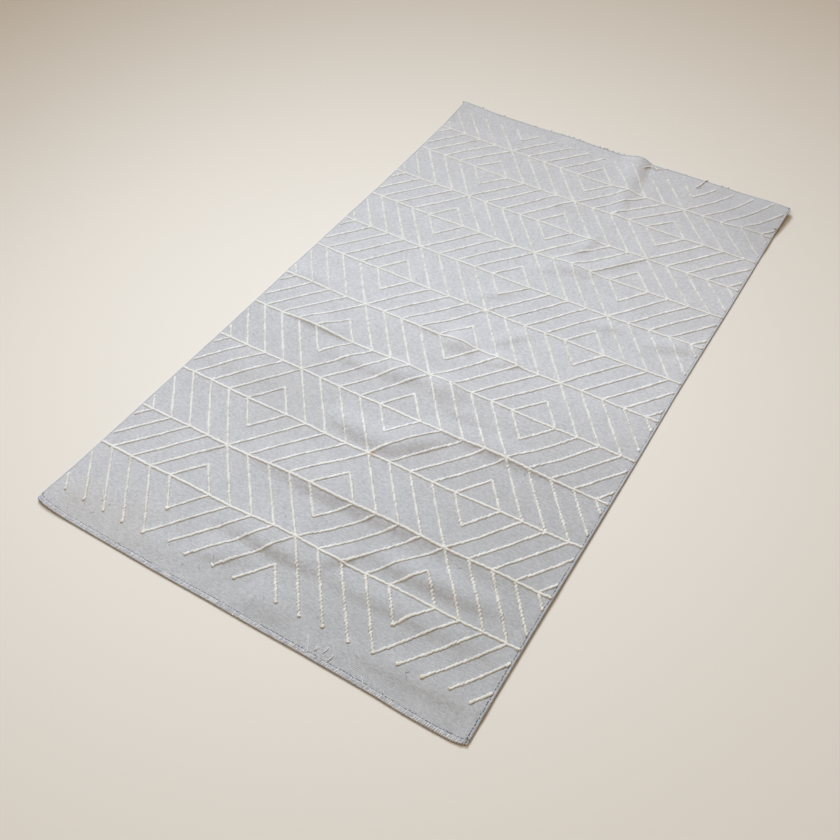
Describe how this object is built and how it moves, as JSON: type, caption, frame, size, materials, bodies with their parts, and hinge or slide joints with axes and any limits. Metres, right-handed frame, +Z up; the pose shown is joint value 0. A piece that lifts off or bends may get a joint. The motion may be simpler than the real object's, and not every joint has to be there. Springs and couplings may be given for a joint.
{
  "type": "kilim rug",
  "caption": "Flat-woven rectangular rug with raised line pattern of nested diamonds, overcast ends, low waves and a fold at its far end.",
  "frame": {"origin": "on the floor, below the middle of the rug's outer rectangle", "axes": "+X across the width to the right, +Y along the length from the near end to the far end, +Z up"},
  "size_m": [0.8, 1.4, 0.0138],
  "materials": {
    "ground": "matte flat weave, pale blue-grey, with raised ivory yarn lines",
    "end_binding": "matte overcast yarn, pale lavender-grey",
    "selvedge": "matte stitched edge, pale grey"
  },
  "bodies": {
    "root": {"woven_ground": "ground", "binding_near": "end_binding", "binding_far": "end_binding", "selvedge_left": "selvedge", "selvedge_right": "selvedge"}
  },
  "joints": []
}
